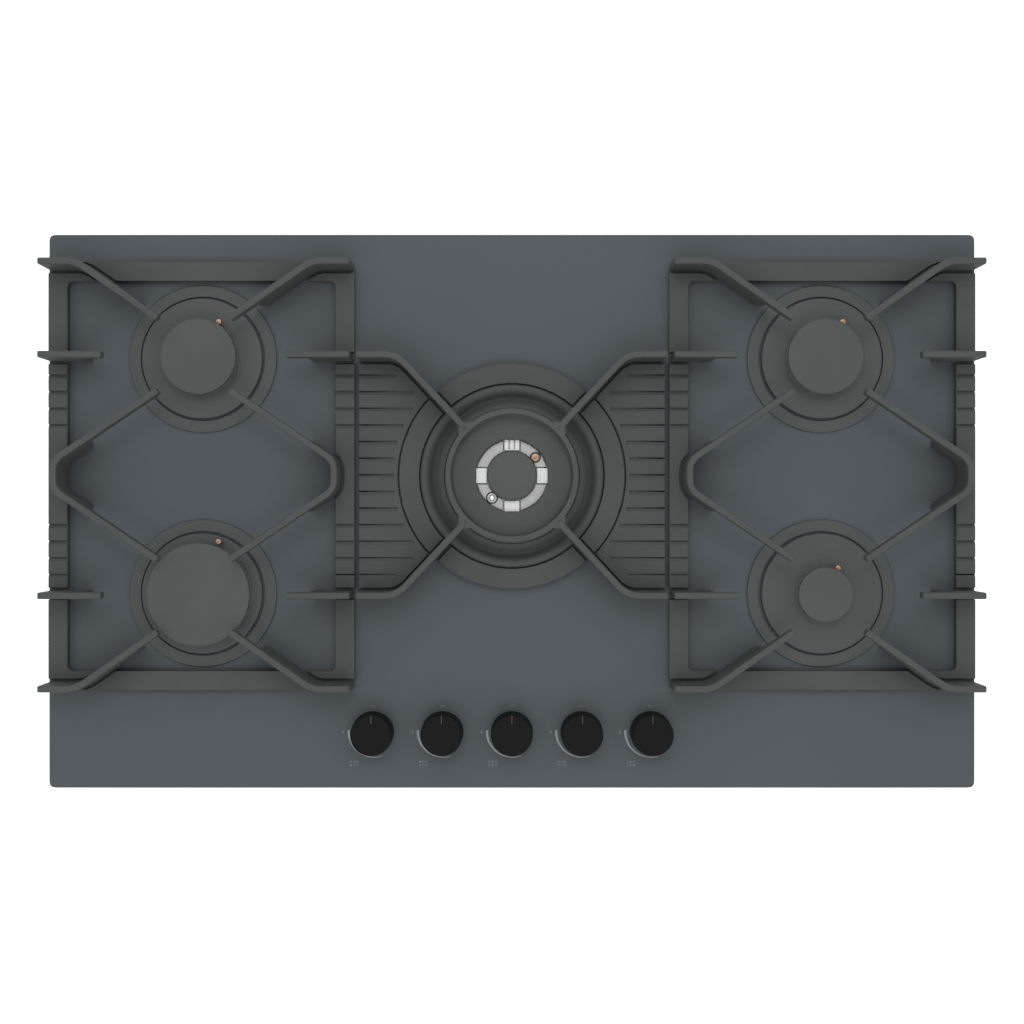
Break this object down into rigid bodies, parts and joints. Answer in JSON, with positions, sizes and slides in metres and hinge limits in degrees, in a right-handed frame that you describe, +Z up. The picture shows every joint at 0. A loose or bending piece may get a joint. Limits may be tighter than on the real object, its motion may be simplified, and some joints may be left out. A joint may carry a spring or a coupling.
{
  "type": "gas cooktop",
  "caption": "Built-in gas-on-glass cooktop with side burners, a large centre burner, lift-off cast-iron grates and caps, and push-and-turn knobs.",
  "frame": {"origin": "centre of the plane on which the sealed rim of the glass rests on the worktop, which is also the centre of the bounding box", "axes": "+X to the right, +Y to the rear, +Z up, for someone who stands in front of the knobs"},
  "size_m": [0.87, 0.52, 0.104],
  "materials": {
    "tinted_glass": "polished tempered glass, opaque backing",
    "foam_seal": "closed-cell strip",
    "zinc_sheet": "galvanised sheet",
    "supply_steel": "plain",
    "tap_alloy": "die cast",
    "pipe_alloy": "drawn tube",
    "module_plastic": "moulded",
    "burner_alloy": "die cast",
    "trim_metal": "satin",
    "black_enamel": "matte enamel",
    "plug_ceramic": "glazed ceramic",
    "sensor_steel": "plain",
    "spindle_steel": "plain",
    "knob_plastic": "satin moulding",
    "cast_iron": "matte enamel",
    "foot_rubber": "plain"
  },
  "bodies": {
    "cooktop": {"glass_panel": "tinted_glass", "worktop_seal": "foam_seal", "burner_box": "zinc_sheet", "gas_rail": "supply_steel", "rail_bracket": "zinc_sheet", "gas_feed": "supply_steel", "gas_taps": "tap_alloy", "gas_pipes": "pipe_alloy", "ignition_module": "module_plastic", "cable_gland": "module_plastic", "burner_bridges": "zinc_sheet", "burner_cups": "burner_alloy", "burner_trims": "trim_metal", "burner_bases": "black_enamel", "burner_crowns": "burner_alloy", "spark_plugs": "plug_ceramic", "flame_sensor": "sensor_steel"},
    "spindle_1": {"spindle_1": "spindle_steel"},
    "knob_1": {"knob_1": "knob_plastic"},
    "spindle_2": {"spindle_2": "spindle_steel"},
    "knob_2": {"knob_2": "knob_plastic"},
    "spindle_3": {"spindle_3": "spindle_steel"},
    "knob_3": {"knob_3": "knob_plastic"},
    "spindle_4": {"spindle_4": "spindle_steel"},
    "knob_4": {"knob_4": "knob_plastic"},
    "spindle_5": {"spindle_5": "spindle_steel"},
    "knob_5": {"knob_5": "knob_plastic"},
    "cap_rear_left": {"cap_rear_left": "black_enamel"},
    "cap_rear_right": {"cap_rear_right": "black_enamel"},
    "cap_front_left": {"cap_front_left": "black_enamel"},
    "cap_front_right": {"cap_front_right": "black_enamel"},
    "centre_outer_cap": {"centre_outer_cap": "black_enamel"},
    "centre_inner_cap": {"centre_inner_cap": "black_enamel"},
    "grate_left": {"grate_left": "cast_iron", "grate_feet_left": "foot_rubber"},
    "grate_centre": {"grate_centre": "cast_iron", "grate_feet_centre": "foot_rubber"},
    "grate_right": {"grate_right": "cast_iron", "grate_feet_right": "foot_rubber"}
  },
  "joints": [
    {"name": "tap_1_turn", "type": "hinge", "parent": "cooktop", "child": "spindle_1", "pos_m": [-0.13, -0.2067, 0], "axis": [0, 0, 1], "range_deg": [0, 210]},
    {"name": "knob_1_push", "type": "slide", "parent": "spindle_1", "child": "knob_1", "axis": [0, 0, -1], "range_m": [0, 0.003], "stiffness_N_per_m": 800, "springref_m": -0.005},
    {"name": "tap_2_turn", "type": "hinge", "parent": "cooktop", "child": "spindle_2", "pos_m": [-0.065, -0.2067, 0], "axis": [0, 0, 1], "range_deg": [0, 210]},
    {"name": "knob_2_push", "type": "slide", "parent": "spindle_2", "child": "knob_2", "axis": [0, 0, -1], "range_m": [0, 0.003], "stiffness_N_per_m": 800, "springref_m": -0.005},
    {"name": "tap_3_turn", "type": "hinge", "parent": "cooktop", "child": "spindle_3", "pos_m": [0, -0.2067, 0], "axis": [0, 0, 1], "range_deg": [0, 210]},
    {"name": "knob_3_push", "type": "slide", "parent": "spindle_3", "child": "knob_3", "axis": [0, 0, -1], "range_m": [0, 0.003], "stiffness_N_per_m": 800, "springref_m": -0.005},
    {"name": "tap_4_turn", "type": "hinge", "parent": "cooktop", "child": "spindle_4", "pos_m": [0.065, -0.2067, 0], "axis": [0, 0, 1], "range_deg": [0, 210]},
    {"name": "knob_4_push", "type": "slide", "parent": "spindle_4", "child": "knob_4", "axis": [0, 0, -1], "range_m": [0, 0.003], "stiffness_N_per_m": 800, "springref_m": -0.005},
    {"name": "tap_5_turn", "type": "hinge", "parent": "cooktop", "child": "spindle_5", "pos_m": [0.13, -0.2067, 0], "axis": [0, 0, 1], "range_deg": [0, 210]},
    {"name": "knob_5_push", "type": "slide", "parent": "spindle_5", "child": "knob_5", "axis": [0, 0, -1], "range_m": [0, 0.003], "stiffness_N_per_m": 800, "springref_m": -0.005},
    {"name": "cap_rear_left_lift", "type": "slide", "parent": "cooktop", "child": "cap_rear_left", "axis": [0, 0, 1], "range_m": [0, 0.03]},
    {"name": "cap_rear_right_lift", "type": "slide", "parent": "cooktop", "child": "cap_rear_right", "axis": [0, 0, 1], "range_m": [0, 0.03]},
    {"name": "cap_front_left_lift", "type": "slide", "parent": "cooktop", "child": "cap_front_left", "axis": [0, 0, 1], "range_m": [0, 0.006]},
    {"name": "cap_front_right_lift", "type": "slide", "parent": "cooktop", "child": "cap_front_right", "axis": [0, 0, 1], "range_m": [0, 0.03]},
    {"name": "centre_outer_cap_lift", "type": "slide", "parent": "cooktop", "child": "centre_outer_cap", "axis": [0, 0, 1], "range_m": [0, 0.006]},
    {"name": "centre_inner_cap_lift", "type": "slide", "parent": "cooktop", "child": "centre_inner_cap", "axis": [0, 0, 1], "range_m": [0, 0.03]},
    {"name": "grate_left_lift", "type": "slide", "parent": "cooktop", "child": "grate_left", "axis": [0, 0, 1], "range_m": [0, 0.08]},
    {"name": "grate_centre_lift", "type": "slide", "parent": "cooktop", "child": "grate_centre", "axis": [0, 0, 1], "range_m": [0, 0.08]},
    {"name": "grate_right_lift", "type": "slide", "parent": "cooktop", "child": "grate_right", "axis": [0, 0, 1], "range_m": [0, 0.08]}
  ]
}
